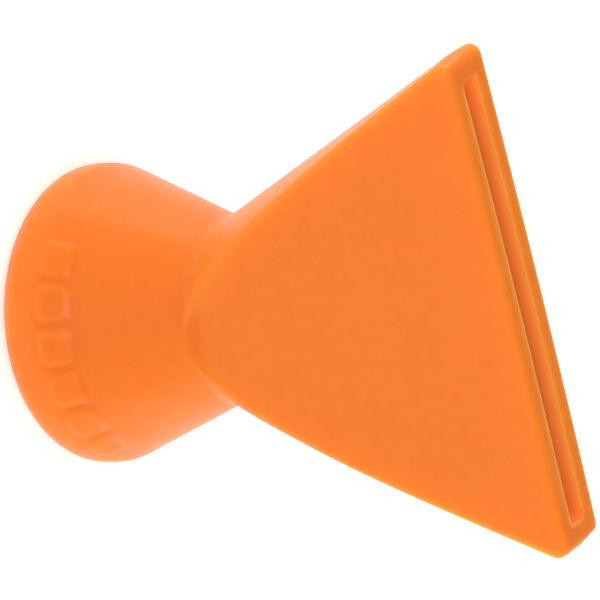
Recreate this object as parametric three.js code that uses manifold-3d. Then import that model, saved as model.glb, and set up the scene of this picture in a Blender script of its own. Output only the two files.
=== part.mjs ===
// A flared outlet nozzle for ball-jointed coolant hose, moulded in one piece.
//
// The socket's rim stands on Z = 0 and the flow leaves upwards, along +Z, through a flat slotted mouth.
// The mouth is wide along X and thin along Y. Every length is in millimetres and every angle in degrees.

import * as THREE from 'three';
import { mergeVertices } from 'three/addons/utils/BufferGeometryUtils.js';
import Module from 'manifold-3d';

const wasm = await Module();
wasm.setup();

// ---------------------------------------------------------------- driving dimensions

// Overall
const nozzleLength = 26.1;
const mouthWidth = 25.4;

// Passage, from the hose to the mouth
const seatDiameter = 11.4; // spherical seat that snaps over the hose's ball
const seatHeight = 2.6; // centre of the ball above the rim
const leadIn = 0.2; // chamfer that opens the seat's throat
const boreDiameter = 6.35;
const neckLength = 2.25; // from the top of the seat to the waist
const slotThickness = 1.35;
const slotLand = 1.0; // last stretch of the slot, where its sides are parallel

// Walls round the passage
const socketWall = 1.725; // beside the ball
const neckWall = 1.275; // at the waist, before its round
const lipWall = 0.925; // each lip, at the mouth
const endWall = 1.25; // past each end of the slot, at the mouth

// Outside of the socket and the waist above it
const rimRound = 1.65; // rolls the socket's side into its rim
const shoulderHeight = 2.4; // where the side turns from upright to tapering
const shoulderRound = 1.5;
const waistRound = 1.2;

// Fan
const flatBite = 0.35; // how far the flats cut into the round of the waist
const mouthCornerRound = 0.6; // rounds the fan's outline at both ends of the mouth
const lipRound = 0.4; // rounds the outer edge of each lip

// Raised pads above the shoulder, in a row on one broad side: a plain grip in place of lettering
const padCount = 6;
const padPitch = 18; // degrees round the socket from one pad to the next
const padWidth = 1.75;
const padLength = 1.6;
const padRise = 0.12;
const padAboveShoulder = 1.0; // to the middle of each pad
const padCornerRound = 0.4;
const padRoot = 0.5; // how deep each pad is sunk into the wall

// Fineness of the faceted surface
const turnSegments = 48;
const seatRings = 20;
const arcStep = 18; // degrees of turn per chord in a profile's rounds
const padArcSegments = 2;
const overrun = 1.0; // how far a cutting shape runs past what it cuts

const orange = new THREE.Color('#f68336');

// ---------------------------------------------------------------- worked out from the above

const seatRadius = seatDiameter / 2;
const boreRadius = boreDiameter / 2;
const slotHalfThickness = slotThickness / 2;
const mouthHalfWidth = mouthWidth / 2;
const socketRadius = seatRadius + socketWall;
const waistRadius = boreRadius + neckWall;
const mouthHalfThickness = slotHalfThickness + lipWall;
const slotHalfLength = mouthHalfWidth - endWall;
const throatRadius = Math.sqrt(seatRadius ** 2 - seatHeight ** 2);
const seatTop = seatHeight + Math.sqrt(seatRadius ** 2 - boreRadius ** 2);
const waistHeight = seatTop + neckLength;
const landStart = nozzleLength - slotLand;
const padCentreHeight = shoulderHeight + padAboveShoulder;
const clearOfBody = Math.max(socketRadius, mouthHalfWidth) + overrun;

// Half angle of the fan: its side runs from the waist's corner and just touches the mouth's corner rounds
const roundRadius = mouthHalfWidth - mouthCornerRound;
const roundHeight = nozzleLength - mouthCornerRound;
const toRound = new THREE.Vector2(roundRadius - waistRadius, roundHeight - waistHeight);
const fanAngle = Math.atan2(toRound.x, toRound.y) + Math.asin(mouthCornerRound / toRound.length());
const fanCornerRadius = waistRadius + (nozzleLength - waistHeight) * Math.tan(fanAngle);

// Taper of the socket's side: radius lost for each millimetre of height
const sideTaper = (socketRadius - waistRadius) / (waistHeight - shoulderHeight);
const sideAngle = Math.atan(sideTaper);

// Half the distance between the flats where they start, just inside the round of the waist
const waistSurface = waistRadius + waistRound * (1 / Math.cos((sideAngle + fanAngle) / 2) - 1);
const flatStart = waistSurface - flatBite;

// ---------------------------------------------------------------- helpers

// Points along a closed outline whose corners are [x, y, radius]; a corner without a radius stays sharp.
function roundedOutline(corners) {
  const points = [];
  corners.forEach(([x, y, radius = 0], i) => {
    const corner = new THREE.Vector2(x, y);
    if (radius === 0) {
      points.push(corner);
      return;
    }
    const before = corners.at(i - 1);
    const after = corners[(i + 1) % corners.length];
    const back = new THREE.Vector2(before[0], before[1]).sub(corner).normalize();
    const on = new THREE.Vector2(after[0], after[1]).sub(corner).normalize();
    const opening = Math.acos(THREE.MathUtils.clamp(back.dot(on), -1, 1));
    const turn = Math.PI - opening;
    const sense = Math.sign(on.cross(back)); // 1 where the outline turns left, -1 where it turns right
    const toCentre = back.clone().add(on).normalize().multiplyScalar(radius / Math.sin(opening / 2));
    const centre = corner.clone().add(toCentre);
    const start = back.multiplyScalar(radius * Math.tan(turn / 2)).add(corner).sub(centre);
    const chords = Math.ceil(THREE.MathUtils.radToDeg(turn) / arcStep);
    for (let k = 0; k <= chords; k++) {
      const spoke = start.clone().rotateAround(new THREE.Vector2(), (sense * turn * k) / chords);
      points.push(spoke.add(centre));
    }
  });
  return points;
}

// A three.js geometry as a solid that joins to and cuts others.
function toSolid(geometry) {
  const bare = geometry.clone();
  bare.deleteAttribute('normal');
  bare.deleteAttribute('uv');
  const welded = mergeVertices(bare);
  const triangles = [];
  for (let i = 0; i < welded.index.count; i += 3) {
    const [a, b, c] = [0, 1, 2].map((k) => welded.index.getX(i + k));
    const collapsed = a === b || b === c || c === a;
    if (!collapsed) triangles.push(a, b, c);
  }
  return new wasm.Manifold(new wasm.Mesh({
    numProp: 3,
    vertProperties: new Float32Array(welded.attributes.position.array),
    triVerts: new Uint32Array(triangles),
  }));
}

// Turns a profile of [radius, height, round] corners about Z. It runs from the axis, out, up and back to the axis.
function turned(corners) {
  const lathe = new THREE.LatheGeometry(roundedOutline(corners), turnSegments);
  lathe.rotateX(Math.PI / 2);
  return toSolid(lathe);
}

// Runs an outline of [y, z, round] corners along the whole width of the nozzle.
function runAlongX(corners) {
  const width = 2 * clearOfBody;
  const bar = new THREE.ExtrudeGeometry(new THREE.Shape(roundedOutline(corners)), {
    depth: width,
    bevelEnabled: false,
  });
  bar.translate(0, 0, -width / 2);
  bar.applyMatrix4(new THREE.Matrix4().makeBasis(
    new THREE.Vector3(0, 1, 0),
    new THREE.Vector3(0, 0, 1),
    new THREE.Vector3(1, 0, 0),
  ));
  return toSolid(bar);
}

function meshOf(solid, name, material) {
  const { vertProperties, triVerts } = solid.getMesh();
  const geometry = new THREE.BufferGeometry();
  geometry.setAttribute('position', new THREE.BufferAttribute(vertProperties, 3));
  geometry.setIndex(new THREE.BufferAttribute(triVerts, 1));
  geometry.computeVertexNormals();
  const mesh = new THREE.Mesh(geometry, material);
  mesh.name = name;
  return mesh;
}

// ---------------------------------------------------------------- the moulding, outside

// Socket, waist and round fan, before the flats are taken off it
const roundBody = turned([
  [0, 0],
  [socketRadius, 0, rimRound],
  [socketRadius, shoulderHeight, shoulderRound],
  [waistRadius, waistHeight, waistRound],
  [fanCornerRadius, nozzleLength, mouthCornerRound],
  [0, nozzleLength],
]);

// The two flats: they start at the waist and draw together towards the mouth
const betweenFlats = runAlongX([
  [-clearOfBody, -overrun],
  [clearOfBody, -overrun],
  [clearOfBody, shoulderHeight],
  [flatStart, waistHeight],
  [mouthHalfThickness, nozzleLength, lipRound],
  [-mouthHalfThickness, nozzleLength, lipRound],
  [-flatStart, waistHeight],
  [-clearOfBody, shoulderHeight],
]);

// One low pad, its outer face padRise above the tapering side at an angle round the socket
function gripPad(angle) {
  const half = { across: padWidth / 2, along: padLength / 2 };
  const outline = new THREE.Shape();
  const inner = { across: half.across - padCornerRound, along: half.along - padCornerRound };
  outline.absarc(inner.across, inner.along, padCornerRound, 0, Math.PI / 2);
  outline.absarc(-inner.across, inner.along, padCornerRound, Math.PI / 2, Math.PI);
  outline.absarc(-inner.across, -inner.along, padCornerRound, Math.PI, 1.5 * Math.PI);
  outline.absarc(inner.across, -inner.along, padCornerRound, 1.5 * Math.PI, 2 * Math.PI);
  const pad = new THREE.ExtrudeGeometry(outline, {
    depth: padRise + padRoot,
    bevelEnabled: false,
    curveSegments: padArcSegments,
  });
  pad.translate(0, 0, -padRoot);
  const round = new THREE.Vector3(-Math.sin(angle), Math.cos(angle), 0);
  const outwards = new THREE.Vector3(
    Math.cos(sideAngle) * Math.cos(angle),
    Math.cos(sideAngle) * Math.sin(angle),
    Math.sin(sideAngle),
  );
  const upTheSide = new THREE.Vector3().crossVectors(outwards, round);
  const sideRadius = socketRadius - sideTaper * (padCentreHeight - shoulderHeight);
  pad.applyMatrix4(new THREE.Matrix4().makeBasis(round, upTheSide, outwards));
  pad.translate(sideRadius * Math.cos(angle), sideRadius * Math.sin(angle), padCentreHeight);
  return toSolid(pad);
}

let outside = roundBody.intersect(betweenFlats);
for (let i = 0; i < padCount; i++) {
  const fromMiddle = (i - (padCount - 1) / 2) * padPitch;
  outside = outside.add(gripPad(THREE.MathUtils.degToRad(90 + fromMiddle)));
}

// ---------------------------------------------------------------- the passage, inside

const ballSeat = new THREE.SphereGeometry(seatRadius, turnSegments, seatRings);
ballSeat.rotateX(Math.PI / 2);
ballSeat.translate(0, 0, seatHeight);

const throatChamfer = turned([
  [0, -overrun],
  [throatRadius + leadIn + overrun, -overrun],
  [throatRadius - leadIn, 2 * leadIn],
  [0, 2 * leadIn],
]);

// Bore and round fan of the flow, before the slot flattens them
const roundPassage = turned([
  [0, seatHeight],
  [boreRadius, seatHeight],
  [boreRadius, waistHeight, waistRound],
  [slotHalfLength, nozzleLength],
  [slotHalfLength, nozzleLength + overrun],
  [0, nozzleLength + overrun],
]);

const slotWedge = runAlongX([
  [-boreRadius - overrun, 0],
  [boreRadius + overrun, 0],
  [boreRadius + overrun, seatTop],
  [boreRadius, waistHeight],
  [slotHalfThickness, landStart],
  [slotHalfThickness, nozzleLength + 2 * overrun],
  [-slotHalfThickness, nozzleLength + 2 * overrun],
  [-slotHalfThickness, landStart],
  [-boreRadius, waistHeight],
  [-boreRadius - overrun, seatTop],
]);

const passage = roundPassage.intersect(slotWedge).add(toSolid(ballSeat)).add(throatChamfer);

// ---------------------------------------------------------------- the part

const satinPlastic = new THREE.MeshStandardMaterial({ color: orange, roughness: 0.45, metalness: 0 });

const nozzle = new THREE.Group();
nozzle.add(meshOf(outside.subtract(passage), 'nozzle_body', satinPlastic));

export default nozzle;
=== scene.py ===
# %% [markdown]
# # A one-piece flare nozzle for ball-jointed coolant hose
#
# The real nozzle is a single injection moulding in a tough orange plastic. Its round socket snaps over
# the ball of a hose segment, its neck draws in to a waist, and its fan spreads the flow to a long thin
# slot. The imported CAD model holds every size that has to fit, but its surface is faceted and its edges
# are plain. This lesson makes the same moulding again as one fine skin, with the soft edges, the parting
# line and the satin finish that a steel mould gives, and then lights it on a white table.

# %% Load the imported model
import math

import bmesh
import bpy
from mathutils import Matrix, Vector


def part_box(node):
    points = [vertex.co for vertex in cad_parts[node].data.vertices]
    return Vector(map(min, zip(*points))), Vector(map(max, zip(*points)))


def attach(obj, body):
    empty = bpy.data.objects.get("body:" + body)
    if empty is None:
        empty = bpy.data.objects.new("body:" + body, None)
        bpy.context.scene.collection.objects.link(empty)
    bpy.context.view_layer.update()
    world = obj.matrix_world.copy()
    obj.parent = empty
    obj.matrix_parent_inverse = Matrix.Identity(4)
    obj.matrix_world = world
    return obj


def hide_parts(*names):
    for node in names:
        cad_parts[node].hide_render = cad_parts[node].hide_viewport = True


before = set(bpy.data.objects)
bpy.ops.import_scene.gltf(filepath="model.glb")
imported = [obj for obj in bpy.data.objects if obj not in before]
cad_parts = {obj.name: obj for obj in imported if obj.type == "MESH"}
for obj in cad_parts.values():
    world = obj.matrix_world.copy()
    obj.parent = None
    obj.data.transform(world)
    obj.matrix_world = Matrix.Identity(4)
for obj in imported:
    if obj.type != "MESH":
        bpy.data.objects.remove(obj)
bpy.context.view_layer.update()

# %% [markdown]
# ## Sizes
#
# A maker starts from the drawing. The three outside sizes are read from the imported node, so that the skin
# can't drift from it. The walls and the passage don't show in a box, so they are repeated here from the
# drawing, in millimetres. Shapes are worked out in millimetres, and turned into metres in one place.

# %% Read the outside sizes, and name the walls and the passage
MM = 0.001
node_low, node_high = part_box("nozzle_body")
nozzle_length = (node_high.z - node_low.z) / MM
mouth_half_width = node_high.x / MM
socket_radius = node_high.y / MM

ball_seat_radius = 5.7
ball_seat_height = 2.6
lead_in = 0.2
bore_radius = 3.175
neck_length = 2.25
neck_wall = 1.275
slot_half_thickness = 0.675
slot_land = 1.0
lip_wall = 0.925
end_wall = 1.25
print(f"length {nozzle_length:.2f}, mouth {2 * mouth_half_width:.2f}, socket {2 * socket_radius:.2f} mm")

# %% Work out what follows from them
seat_top = ball_seat_height + math.sqrt(ball_seat_radius**2 - bore_radius**2)
throat_radius = math.sqrt(ball_seat_radius**2 - ball_seat_height**2)
waist_height = seat_top + neck_length
waist_radius = bore_radius + neck_wall
mouth_half_thickness = slot_half_thickness + lip_wall
slot_half_length = mouth_half_width - end_wall
print(f"seat top {seat_top:.2f}, waist at {waist_height:.2f}, throat radius {throat_radius:.2f} mm")

# %% [markdown]
# ## Rounded paths
#
# Seen in section, a moulding is straight walls joined by rounds. A path is therefore a short list of
# corners, each with its own radius, and one function turns it into close points. Straight stretches get
# points at an even step and rounds get a point every few degrees. A spline through the corners would be
# quicker to write, but it would bulge between them, and a mould's walls are straight.

# %% A path with rounded corners
def rounded_path(corners, step=0.25, turn_step=6.0):
    """Close points along corners given as (across, height) or (across, height, radius)."""
    knots = []
    for i, corner in enumerate(corners):
        here = Vector(corner[:2])
        radius = corner[2] if len(corner) > 2 else 0.0
        if radius == 0.0:
            knots.append(here)
            continue
        back = (Vector(corners[i - 1][:2]) - here).normalized()
        on = (Vector(corners[i + 1][:2]) - here).normalized()
        half_opening = back.angle(on) / 2
        centre = here + (back + on).normalized() * (radius / math.sin(half_opening))
        reach = radius / math.tan(half_opening)
        first = here + back * reach - centre
        last = here + on * reach - centre
        turn = first.angle_signed(last)
        pieces = max(2, math.ceil(math.degrees(abs(turn)) / turn_step))
        for k in range(pieces + 1):
            spoke = first.copy()
            spoke.rotate(Matrix.Rotation(-turn * k / pieces, 2))
            knots.append(centre + spoke)
    points = [knots[0]]
    for start, end in zip(knots, knots[1:]):
        pieces = max(1, math.ceil((end - start).length / step))
        points += [start.lerp(end, k / pieces) for k in range(1, pieces + 1)]
    return points


def across_at(path, height):
    """How far across a path lies at a height. The path only climbs or only falls."""
    rising = path if path[-1].y > path[0].y else path[::-1]
    if height <= rising[0].y:
        return rising[0].x
    for below, above in zip(rising, rising[1:]):
        if height <= above.y:
            share = (height - below.y) / max(above.y - below.y, 1e-9)
            return below.x + (above.x - below.x) * share
    return rising[-1].x


# %% [markdown]
# ## The outside in section
#
# Two paths shape the outside. The first is the round body, as a lathe would turn it: rim, socket, neck,
# waist and cone. The second is half the distance between the two flats that make the cone a fan. The fan's
# side runs from the waist and just touches the rounds at the ends of the mouth, so its slope follows
# from the other sizes. The body is kept a hair inside the drawing, so that the mould's parting line can
# stand proud and still stay within it.

# %% The round body's path and the flats' path
parting_rise = 0.012
rim_round = 1.65
shoulder_height = 2.4
shoulder_round = 1.5
waist_round = 1.2
mouth_corner_round = 0.6
lip_round = 0.4
flat_bite = 0.35
flat_start_round = 2.2

body_socket_radius = socket_radius - parting_rise
body_mouth_radius = mouth_half_width - parting_rise
round_centre = Vector((body_mouth_radius - mouth_corner_round, nozzle_length - mouth_corner_round))
to_round = round_centre - Vector((waist_radius, waist_height))
fan_angle = math.atan2(to_round.x, to_round.y) + math.asin(mouth_corner_round / to_round.length)
fan_corner_radius = waist_radius + (nozzle_length - waist_height) * math.tan(fan_angle)
side_taper = (body_socket_radius - waist_radius) / (waist_height - shoulder_height)
side_angle = math.atan(side_taper)

rim_inner_radius = throat_radius + lead_in
body_path = rounded_path([
    (rim_inner_radius, 0.0),
    (body_socket_radius, 0.0, rim_round),
    (body_socket_radius, shoulder_height, shoulder_round),
    (waist_radius, waist_height, waist_round),
    (fan_corner_radius, nozzle_length, mouth_corner_round),
    (0.0, nozzle_length),
], step=0.14)

waist_lift = waist_round * (1 / math.cos((side_angle + fan_angle) / 2) - 1)
flat_start = waist_radius + waist_lift - flat_bite
flats_path = rounded_path([
    (mouth_half_width, shoulder_height),
    (flat_start, waist_height, flat_start_round),
    (mouth_half_thickness, nozzle_length, lip_round),
    (0.0, nozzle_length),
])
hair = 0.01
outside_path = [p for p in body_path if p.x > round_centre.x - hair or p.y < nozzle_length - hair]
print(f"fan opens at {math.degrees(fan_angle):.1f} degrees a side, flats start at {flat_start:.2f} mm")

# %% [markdown]
# ## The passage in section
#
# The passage is made the same way, from the mouth down: a round fan squeezed between two walls that open
# from the slot to the bore, then the bore, and the spherical seat that holds the ball. The core pins that
# form it leave no sharp edge at the mouth, so the slot's rim gets a small round too.

# %% The round passage's path, the slot's path and the seat's path
slot_edge_round = 0.08
slot_mouth = nozzle_length - slot_edge_round
passage_path = rounded_path([
    (slot_half_length, nozzle_length),
    (bore_radius, waist_height, waist_round),
    (bore_radius, seat_top),
], step=0.3)
land_round = 1.5
throat_round = 2.0
slot_path = rounded_path([
    (slot_half_thickness, nozzle_length),
    (slot_half_thickness, nozzle_length - slot_land, land_round),
    (bore_radius, waist_height, throat_round),
    (bore_radius + lead_in, seat_top),
])
seat_path = []
seat_start = math.asin(bore_radius / ball_seat_radius)
seat_end = math.pi / 2 + math.asin((ball_seat_height - lead_in) / ball_seat_radius)
seat_steps = 40
for k in range(seat_steps + 1):
    from_pole = seat_start + (seat_end - seat_start) * k / seat_steps
    seat_path.append(Vector((
        ball_seat_radius * math.sin(from_pole),
        ball_seat_height + ball_seat_radius * math.cos(from_pole),
    )))
print(f"{len(passage_path)} points down the passage, {len(seat_path)} round the seat")

# %% [markdown]
# ## One ring of the skin
#
# Every ring is a circle cut by two flats, with a small round where flat and circle meet. A lathe can't
# make the flats, and cutting them with a boolean leaves long thin triangles along the edge that has to
# look softest. Walking each ring at even steps, with closer steps in the rounds and beside the
# parting line, keeps neighbouring rings matched point to point, so the skin stays smooth.

# %% Points round one ring
QUARTER = 72
PARTING_STEPS = 4
parting_half_width = 0.09
round_weight = 6.0


def quarter_ring(side, flat, corner):
    """(across, through) points from the middle of the side to the middle of the flat."""
    corner = min(corner, 0.9 * side, 0.9 * flat)
    if flat < side:
        centre = Vector((math.sqrt((side - corner)**2 - (flat - corner)**2), flat - corner))
        side_end = math.atan2(centre.y, centre.x)
    else:
        centre = Vector((0.0, side - corner))
        side_end = math.pi / 2
    side_run = side * side_end
    corner_turn = math.pi / 2 - side_end
    corner_run = round_weight * corner * corner_turn
    whole = side_run - parting_half_width + corner_run + centre.x
    points = []
    for k in range(QUARTER):
        if k < PARTING_STEPS:
            run = parting_half_width * k / PARTING_STEPS
        else:
            share = (k - PARTING_STEPS) / (QUARTER - PARTING_STEPS)
            run = parting_half_width + whole * share
        if run <= side_run:
            angle = run / side
            points.append(Vector((side * math.cos(angle), side * math.sin(angle))))
        elif run <= side_run + corner_run:
            angle = side_end + (run - side_run) / (round_weight * corner)
            points.append(centre + corner * Vector((math.cos(angle), math.sin(angle))))
        else:
            points.append(Vector((centre.x - (run - side_run - corner_run), flat)))
    points.append(Vector((0.0, min(flat, side))))
    return points


def whole_ring(side, flat, corner):
    """The quarter and its three mirror images, in order round the ring."""
    quarter = quarter_ring(side, flat, corner)
    front = quarter + [Vector((-p.x, p.y)) for p in reversed(quarter[:-1])]
    back = [Vector((p.x, -p.y)) for p in reversed(front[1:-1])]
    return front + back


print(f"{len(whole_ring(socket_radius, socket_radius, 1.0))} points round each ring")

# %% [markdown]
# ## Soft corners along the fan
#
# The edge between a flat and the fan's side isn't equally soft all along. It is crisp at the mouth, where
# the two halves of the mould meet a flat face, grows a little softer on the way down, and softens most
# in the last stretch before the waist. A straight line can't do both, so an S-curve adds the last part.

# %% How soft each edge is
mouth_edge_round = 0.25
edge_round_growth = 0.03
waist_softness = 0.9
soft_from = 9.0
soft_over = 7.0


def smooth(share):
    share = min(max(share, 0.0), 1.0)
    return share * share * (3 - 2 * share)


def fan_edge_round(height):
    below_mouth = max(0.0, nozzle_length - height)
    near_waist = smooth((below_mouth - soft_from) / soft_over)
    return mouth_edge_round + edge_round_growth * below_mouth + waist_softness * near_waist


slot_corner_round = 0.2
slot_round_growth = 0.1


def slot_corner(height):
    return slot_corner_round + slot_round_growth * max(0.0, nozzle_length - height)


print(f"fan edge round at the waist: {fan_edge_round(waist_height):.2f} mm")

# %% [markdown]
# ## Rings in order
#
# The skin is one closed loop of rings: out across the rim, up the outside, over the lips, down through
# the passage and round the seat, back to the rim. Each ring is kept with the side of the wall that it is
# on, because only the outside gets the pads and the parting line.

# %% List the rings
rings = []


def add_ring(height, side, flat, corner, outside=False):
    rings.append((height, whole_ring(side, flat, corner), outside))


for p in outside_path:
    add_ring(p.y, p.x, across_at(flats_path, p.y), fan_edge_round(p.y), outside=True)

mouth_outer = (round_centre.x, across_at(flats_path, nozzle_length))
mouth_inner = (slot_half_length + slot_edge_round, slot_half_thickness + slot_edge_round)
lip_face_steps = 4
for k in range(1, lip_face_steps + 1):
    share = k / lip_face_steps
    side = mouth_outer[0] + (mouth_inner[0] - mouth_outer[0]) * share
    flat = mouth_outer[1] + (mouth_inner[1] - mouth_outer[1]) * share
    add_ring(nozzle_length, side, flat, mouth_edge_round)

slot_edge_steps = 6
for k in range(1, slot_edge_steps + 1):
    turn = math.pi / 2 * k / slot_edge_steps
    out = slot_edge_round * (1 - math.sin(turn))
    down = slot_edge_round * (1 - math.cos(turn))
    add_ring(nozzle_length - down, slot_half_length + out, slot_half_thickness + out, slot_corner_round)

for p in passage_path:
    if p.y < slot_mouth - 0.05:
        add_ring(p.y, p.x, across_at(slot_path, p.y), slot_corner(p.y))

for p in seat_path[1:]:
    add_ring(p.y, p.x, p.x, 1.0)
print(f"{len(rings)} rings")

# %% [markdown]
# ## Relief on the outside
#
# Two things stand proud of the outside. The parting line is a fine ridge where the halves of the mould
# met, in the plane through the middle of the fan. Above the shoulder, one broad side has a row of low
# rounded pads that fingers can grip. Both are moved out in the mesh, not painted as bump, so that they
# still show in profile.

# %% Height of the relief at a point
pad_count = 6
pad_pitch = math.radians(18)
pad_width = 1.75
pad_length = 1.6
pad_rise = 0.11
pad_corner_round = 0.45
pad_soft_edge = 0.3
pad_height = shoulder_height + 1.0


def pad_relief(across, through, height):
    from_middle = math.atan2(across, through) / pad_pitch
    last_pad = (pad_count - 1) / 2
    nearest = min(max(round(from_middle - last_pad) + last_pad, -last_pad), last_pad)
    beside = abs(from_middle - nearest) * pad_pitch * math.hypot(across, through)
    x = beside - pad_width / 2 + pad_corner_round
    y = abs(height - pad_height) / math.cos(side_angle) - pad_length / 2 + pad_corner_round
    beyond = math.hypot(max(x, 0.0), max(y, 0.0)) + min(max(x, y), 0.0) - pad_corner_round
    return pad_rise * smooth(0.5 - beyond / pad_soft_edge)


def parting_relief(through):
    return parting_rise * smooth(1 - abs(through) / parting_half_width)


end_pad_angle = math.degrees(pad_pitch) * (pad_count - 1) / 2
print(f"{pad_count} pads out to {end_pad_angle:.0f} degrees from the middle, {pad_rise:.2f} mm proud")

# %% [markdown]
# ## Crown of the mouth
#
# A long thin face shrinks as it cools, so the mouth isn't quite flat: its ends lie a little lower than
# its middle. Lowering points with the square of their distance from the middle gives that, fading to
# nothing at the waist, and needs no extra rings.

# %% How far the ends drop
mouth_crown = 0.115


def crown_drop(across, height):
    share = max(0.0, (height - waist_height) / (nozzle_length - waist_height))
    return mouth_crown * share * (across / mouth_half_width)**2


print(f"the mouth's ends lie {crown_drop(mouth_half_width, nozzle_length):.3f} mm lower")


# %% [markdown]
# ## Build the skin
#
# The rings become one mesh: a grid of four-sided faces that closes on itself both ways, like a
# doughnut, which is what a nozzle with one hole through it is. No face is left open and none is hidden
# inside. Edges sharper than a set angle, such as where the bore meets the seat, stay crisp in shading.
# Each point inside the slot also keeps a value from 0 to 1, which the plastic below uses for painted light:
# a paler tint that stands in for the light that reaches the slot.

# %% Make the mesh
crisp_angle = 40
# Painted light: the slot is tinted paler from this depth below the mouth, over this run.
painted_light_from = 9.0
painted_light_over = 7.0


def painted_light_share(height, outside):
    """Share of painted light: 0 outside and deep in the passage, up to 1 behind the slot's mouth."""
    if outside or height > slot_mouth:
        return 0.0
    return smooth((height - nozzle_length + painted_light_from) / painted_light_over)


def build_skin():
    mesh = bpy.data.meshes.new("flare_nozzle")
    skin = bmesh.new()
    grid = []
    painted_light = []
    for height, outline, outside in rings:
        row = []
        for p in outline:
            place = Vector((p.x, p.y, height))
            if outside:
                relief = parting_relief(p.y) + pad_relief(p.x, p.y, height)
                if relief > 0.0:
                    out = Vector((p.x, p.y, 0.0)).normalized() * math.cos(side_angle)
                    out.z = math.sin(side_angle) if height < waist_height else 0.0
                    place += relief * out
            place.x = min(max(place.x, -mouth_half_width), mouth_half_width)
            place.z = max(place.z - crown_drop(place.x, height), 0.0)
            row.append(skin.verts.new(place * MM))
            # Each point keeps its share of the painted light in the slot.
            painted_light.append(painted_light_share(height, outside))
        grid.append(row)
    count = len(grid[0])
    for row, following in zip(grid, grid[1:] + grid[:1]):
        for k in range(count):
            on = (k + 1) % count
            skin.faces.new((row[k], row[on], following[on], following[k]))
    bmesh.ops.recalc_face_normals(skin, faces=skin.faces)
    for face in skin.faces:
        face.smooth = True
    skin.to_mesh(mesh)
    skin.free()
    mesh.attributes.new("painted_slot_light", "FLOAT", "POINT").data.foreach_set("value", painted_light)
    mesh.set_sharp_from_angle(angle=math.radians(crisp_angle))
    piece = bpy.data.objects.new("flare_nozzle", mesh)
    bpy.context.collection.objects.link(piece)
    return piece


nozzle = build_skin()
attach(nozzle, "root")
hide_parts("nozzle_body")
print(f"{len(nozzle.data.vertices)} points, {len(nozzle.data.polygons)} faces")

# %% [markdown]
# ## The plastic
#
# The nozzle is coloured all through, so its colour isn't paint on a surface: light goes a little way
# in and comes back warmer, which is why thin edges glow. A Principled shader whose light is all
# subsurface does that. The finish is the satin of a spark-eroded mould, made of a very fine grain in
# the bump and roughness, over a faint mottling in the colour as the pigment mixes.
#
# The paler tint in the slot is painted light, a correction, and the real part has one pigment. With enough
# scattering to light the slot by itself, the thin edges glow too much, so the reach is kept short and the
# painted tint makes up the rest of the light. Gloss, index and reach are single numbers, so they sit on the
# shader's own sockets.

# %% Make the orange plastic
orange = (0.77, 0.188, 0.0150, 1.0)
deep_orange = (0.76, 0.180, 0.0130, 1.0)
pale_orange = (0.78, 0.196, 0.0170, 1.0)
# Painted light: a paler orange in the slot stands in for light reaching it through the lips.
painted_light_orange = (1.0, 0.290, 0.060, 1.0)

scatter_colour_reach = (0.6, 0.8, 0.6)
scatter_reach = 0.003
plastic_index = 1.45
gloss_level = 0.2
gloss_roughness = (0.28, 0.38)
mottle_scale = 1400
grain_scale = 7000
grain_strength = 0.25
grain_depth = 0.01 * MM


def satin_plastic():
    material = bpy.data.materials.new("orange_plastic")
    material.use_nodes = True
    nodes = material.node_tree.nodes
    link = material.node_tree.links.new
    shader = nodes["Principled BSDF"]
    shader.inputs["Subsurface Weight"].default_value = 1.0
    shader.inputs["Subsurface Radius"].default_value = scatter_colour_reach
    shader.inputs["Subsurface Scale"].default_value = scatter_reach
    shader.inputs["IOR"].default_value = plastic_index
    shader.inputs["Specular IOR Level"].default_value = gloss_level

    place = nodes.new("ShaderNodeTexCoord")

    mottle = nodes.new("ShaderNodeTexNoise")
    mottle.inputs["Scale"].default_value = mottle_scale
    mottle.inputs["Detail"].default_value = 5
    mottle.inputs["Roughness"].default_value = 0.62
    link(place.outputs["Object"], mottle.inputs["Vector"])
    shade = nodes.new("ShaderNodeValToRGB")
    shade.color_ramp.elements[0].position = 0.3
    shade.color_ramp.elements[0].color = deep_orange
    shade.color_ramp.elements[1].position = 0.7
    shade.color_ramp.elements[1].color = pale_orange
    middle = shade.color_ramp.elements.new(0.5)
    middle.color = orange
    link(mottle.outputs["Fac"], shade.inputs["Fac"])
    # Painted light: the paler orange is mixed in by each point's stored share.
    painted_light = nodes.new("ShaderNodeAttribute")
    painted_light.attribute_name = "painted_slot_light"
    painted_light_mix = nodes.new("ShaderNodeMix")
    painted_light_mix.data_type = "RGBA"
    link(painted_light.outputs["Fac"], painted_light_mix.inputs["Factor"])
    link(shade.outputs["Color"], painted_light_mix.inputs["A"])
    painted_light_mix.inputs["B"].default_value = painted_light_orange
    link(painted_light_mix.outputs["Result"], shader.inputs["Base Color"])

    grain = nodes.new("ShaderNodeTexNoise")
    grain.inputs["Scale"].default_value = grain_scale
    grain.inputs["Detail"].default_value = 3
    link(place.outputs["Object"], grain.inputs["Vector"])
    satin = nodes.new("ShaderNodeMapRange")
    satin.inputs["To Min"].default_value = gloss_roughness[0]
    satin.inputs["To Max"].default_value = gloss_roughness[1]
    link(grain.outputs["Fac"], satin.inputs["Value"])
    link(satin.outputs["Result"], shader.inputs["Roughness"])
    bump = nodes.new("ShaderNodeBump")
    bump.inputs["Strength"].default_value = grain_strength
    bump.inputs["Distance"].default_value = grain_depth
    link(grain.outputs["Fac"], bump.inputs["Height"])
    link(bump.outputs["Normal"], shader.inputs["Normal"])
    return material


plastic = satin_plastic()
nozzle.data.materials.append(plastic)
print(f"material {plastic.name}: light reaches about {scatter_reach / MM:.0f} mm, index {plastic_index}")

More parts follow.
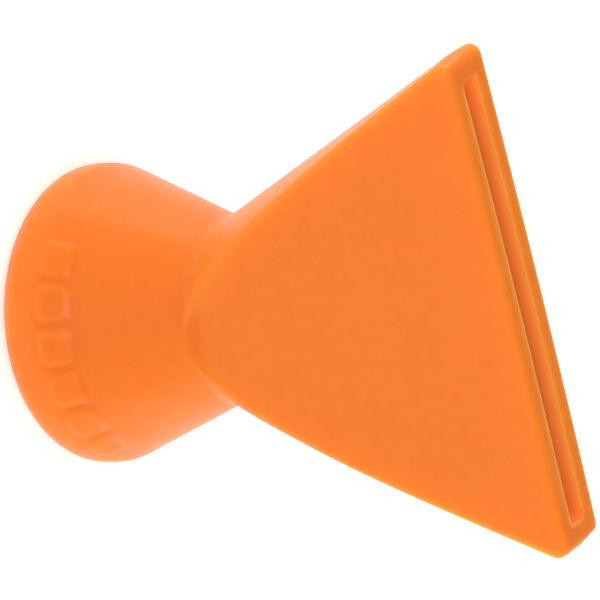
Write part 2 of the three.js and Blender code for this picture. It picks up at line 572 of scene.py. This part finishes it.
# %% [markdown]
# ## The table and the light
#
# A small shiny part is best lit inside a tent of white cloth, because it mirrors whatever is round it.
# Here the world is that tent, a little darker where it opens towards the viewer, and a wide table that
# glows faintly stands under the part and stays white. Most of the light comes from three large soft
# lamps. The tent itself is dim, so it looks grey in a level view, beyond the table.

# %% Lay the table
table_size = 3.0
table_glow = 0.46
table_white = (0.8, 0.8, 0.8, 1)
table_roughness = 0.9
table_gloss = 0.2


def white_table():
    mesh = bpy.data.meshes.new("table")
    sheet = bmesh.new()
    bmesh.ops.create_grid(sheet, x_segments=8, y_segments=8, size=table_size / 2)
    sheet.to_mesh(mesh)
    sheet.free()
    table = bpy.data.objects.new("table", mesh)
    bpy.context.collection.objects.link(table)
    material = bpy.data.materials.new("white_table")
    material.use_nodes = True
    shader = material.node_tree.nodes["Principled BSDF"]
    shader.inputs["Base Color"].default_value = table_white
    shader.inputs["Roughness"].default_value = table_roughness
    shader.inputs["Specular IOR Level"].default_value = table_gloss
    shader.inputs["Emission Color"].default_value = (1, 1, 1, 1)
    shader.inputs["Emission Strength"].default_value = table_glow
    mesh.materials.append(material)
    return table


table = white_table()
print(f"table {table.dimensions.x:.1f} m wide, glow {table_glow}")

# %% Light the tent
tent_brightness = 0.42
opening_brightness = 0.32
opening_faces = Vector((0.32, 0.76, 0.56)).normalized()
opening_edge = math.radians(58)
opening_core = math.radians(15)


def light_tent():
    world = bpy.data.worlds.new("white_tent")
    world.use_nodes = True
    nodes = world.node_tree.nodes
    link = world.node_tree.links.new
    direction = nodes.new("ShaderNodeTexCoord")
    facing = nodes.new("ShaderNodeVectorMath")
    facing.operation = "DOT_PRODUCT"
    facing.inputs[1].default_value = opening_faces
    link(direction.outputs["Generated"], facing.inputs[0])
    fade = nodes.new("ShaderNodeMapRange")
    fade.interpolation_type = "SMOOTHSTEP"
    fade.inputs["From Min"].default_value = math.cos(opening_edge)
    fade.inputs["From Max"].default_value = math.cos(opening_core)
    fade.inputs["To Min"].default_value = tent_brightness
    fade.inputs["To Max"].default_value = opening_brightness
    link(facing.outputs["Value"], fade.inputs["Value"])
    tent = nodes["Background"]
    tent.inputs["Color"].default_value = (1, 1, 1, 1)
    link(fade.outputs["Result"], tent.inputs["Strength"])
    bpy.context.scene.world = world


light_tent()
print(f"tent {tent_brightness}, opening {opening_brightness}")

# %% Hang the lamps
part_middle = Vector((0, 0, nozzle_length / 2 * MM))


def soft_lamp(name, place, width, watts):
    lamp = bpy.data.lights.new(name, "AREA")
    lamp.shape = "SQUARE"
    lamp.size = width
    lamp.energy = watts
    holder = bpy.data.objects.new(name, lamp)
    holder.location = place
    holder.rotation_mode = "QUATERNION"
    holder.rotation_quaternion = (part_middle - Vector(place)).to_track_quat("-Z", "Y")
    bpy.context.collection.objects.link(holder)


lamp_width = 0.25
soft_lamp("right_lamp", (0.33, -0.20, 0.06), lamp_width, 1.05)
soft_lamp("left_lamp", (-0.38, 0.02, 0.10), lamp_width, 0.83)
soft_lamp("front_lamp", (0.10, 0.30, 0.25), lamp_width, 0.96)
lamps = [lamp for lamp in bpy.data.lights if lamp.type == "AREA"]
print(f"{len(lamps)} lamps, {sum(lamp.energy for lamp in lamps):.2f} W in all")

# %% [markdown]
# ## The camera
#
# The part is seen from above and in front of one flat, from a quarter of a metre away through a long
# lens, and the camera is rolled until the fan opens to the right. Place, aim and roll are three plain
# values, so the view can be set again on any stand.

# %% Place the camera
camera_place = Vector((0.08624, 0.20338, 0.16316))
camera_aim = Vector((0.00038, -0.00012, 0.01320))
camera_up = Vector((0.91623, -0.40022, 0.01851))
lens_mm = 331.16
sensor_mm = 36.0


def add_camera():
    camera = bpy.data.objects.new("camera", bpy.data.cameras.new("camera"))
    camera.data.lens = lens_mm
    camera.data.sensor_width = sensor_mm
    camera.data.clip_start = 0.01
    camera.data.clip_end = 10.0
    back = (camera_place - camera_aim).normalized()
    right = camera_up.cross(back).normalized()
    turn = Matrix((right, back.cross(right), back)).transposed()
    camera.rotation_mode = "QUATERNION"
    camera.rotation_quaternion = turn.to_quaternion()
    camera.location = camera_place
    bpy.context.collection.objects.link(camera)
    return camera


bpy.context.scene.camera = add_camera()
bpy.context.scene.view_settings.view_transform = "Standard"
print(f"camera {(camera_place - camera_aim).length:.3f} m from its aim, lens {lens_mm} mm")
